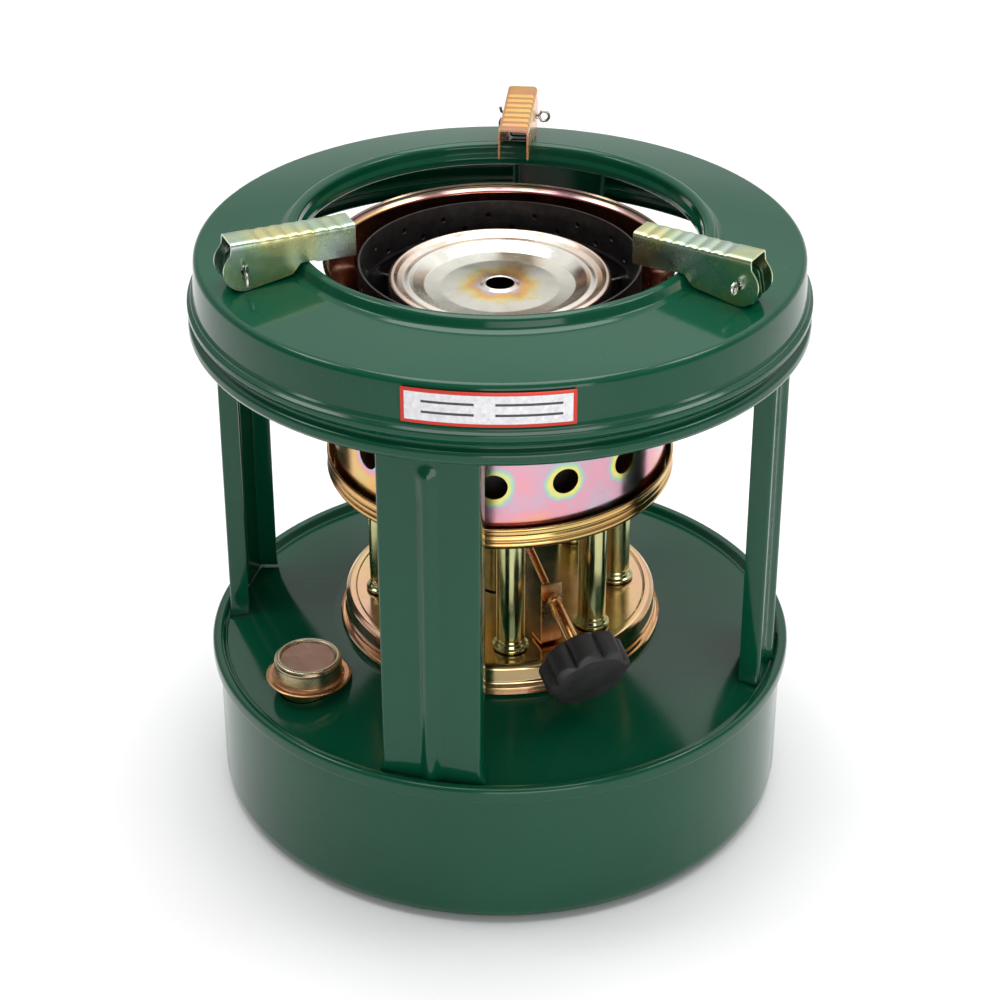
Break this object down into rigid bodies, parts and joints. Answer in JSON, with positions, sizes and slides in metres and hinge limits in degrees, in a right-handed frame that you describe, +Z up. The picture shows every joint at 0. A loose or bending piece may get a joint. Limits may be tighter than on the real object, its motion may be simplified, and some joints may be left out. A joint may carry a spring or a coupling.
{
  "type": "camping stove",
  "caption": "Round kerosene camping stove: fuel tank, four legs, ring with folding pot supports, lift-off burner, wick tubes and a wick-lifting knob.",
  "frame": {"origin": "centre of the tank's underside, on the ground", "axes": "+Z up through the burner, -Y to the front where the knob and the rating plate are, +X to the right"},
  "size_m": [0.2444, 0.2444, 0.263],
  "materials": {
    "green_paint": "glossy bottle-green enamel",
    "zinc": "yellow chromate zinc plate with a rainbow film",
    "pink_zinc": "chromate zinc plate, pink and copper",
    "dark_steel": "heat-darkened steel",
    "bright_steel": "bright steel",
    "black_plastic": "matt black moulding",
    "cotton": "plaited cotton",
    "rubber": "matt oil-proof rubber",
    "plate_print": "printed foil plate, red border, no lettering"
  },
  "bodies": {
    "frame": {"tank_pan": "green_paint", "tank_deck": "green_paint", "filler_neck": "zinc", "burner_base": "pink_zinc", "base_gasket": "rubber", "wick_tube_1": "zinc", "wick_tube_2": "zinc", "wick_tube_3": "zinc", "wick_tube_4": "zinc", "wick_tube_5": "zinc", "wick_tube_6": "zinc", "wick_tube_7": "zinc", "wick_tube_8": "zinc", "rack_guide": "zinc", "spindle_bracket": "zinc", "burner_tray": "pink_zinc", "top_ring": "green_paint", "leg_1": "green_paint", "leg_2": "green_paint", "leg_3": "green_paint", "leg_4": "green_paint", "rating_plate": "plate_print", "support_bracket_1": "green_paint", "support_bracket_2": "green_paint", "support_bracket_3": "green_paint", "support_pin_1": "bright_steel", "support_pin_2": "bright_steel", "support_pin_3": "bright_steel"},
    "burner": {"burner_casing": "pink_zinc", "outer_flame_tube": "dark_steel", "inner_flame_tube": "dark_steel", "cross_wire_1": "bright_steel", "cross_wire_2": "bright_steel", "cross_wire_3": "bright_steel", "flame_dish": "bright_steel"},
    "wick_carriage": {"wick_carrier": "dark_steel", "wick_rack": "bright_steel", "wick_1": "cotton", "wick_2": "cotton", "wick_3": "cotton", "wick_4": "cotton", "wick_5": "cotton", "wick_6": "cotton", "wick_7": "cotton", "wick_8": "cotton"},
    "wick_knob": {"spindle": "pink_zinc", "pinion": "bright_steel", "knob": "black_plastic"},
    "support_1": {"pot_support_1": "zinc"},
    "support_2": {"pot_support_2": "zinc"},
    "support_3": {"pot_support_3": "zinc"},
    "cap": {"filler_cap": "pink_zinc", "filler_gasket": "rubber"}
  },
  "joints": [
    {"name": "burner_lift", "type": "slide", "parent": "frame", "child": "burner", "axis": [0, 0, 1], "range_m": [0, 0.006]},
    {"name": "wick_slide", "type": "slide", "parent": "frame", "child": "wick_carriage", "axis": [0, 0, 1], "range_m": [-0.02, 0.003]},
    {"name": "knob_turn", "type": "hinge", "parent": "frame", "child": "wick_knob", "pos_m": [0, 0, 0.133], "axis": [0.3599, -0.8358, -0.4146], "range_deg": [-327, 50]},
    {"name": "cap_lift", "type": "slide", "parent": "frame", "child": "cap", "axis": [0, 0, 1], "range_m": [0, 0.015]},
    {"name": "support_fold_1", "type": "hinge", "parent": "frame", "child": "support_1", "pos_m": [0.00919, 0.105, 0.25179], "axis": [-0.9962, 0.0872, 0], "range_deg": [0, 112]},
    {"name": "support_fold_2", "type": "hinge", "parent": "frame", "child": "support_2", "pos_m": [-0.09702, -0.04118, 0.25179], "axis": [0.3907, -0.9205, 0], "range_deg": [0, 112]},
    {"name": "support_fold_3", "type": "hinge", "parent": "frame", "child": "support_3", "pos_m": [0.09035, -0.05429, 0.25179], "axis": [0.515, 0.8572, 0], "range_deg": [0, 112]}
  ],
  "couplings": [
    {"joint": "knob_turn", "follows": "wick_slide", "rad_per_m": 284.37}
  ]
}
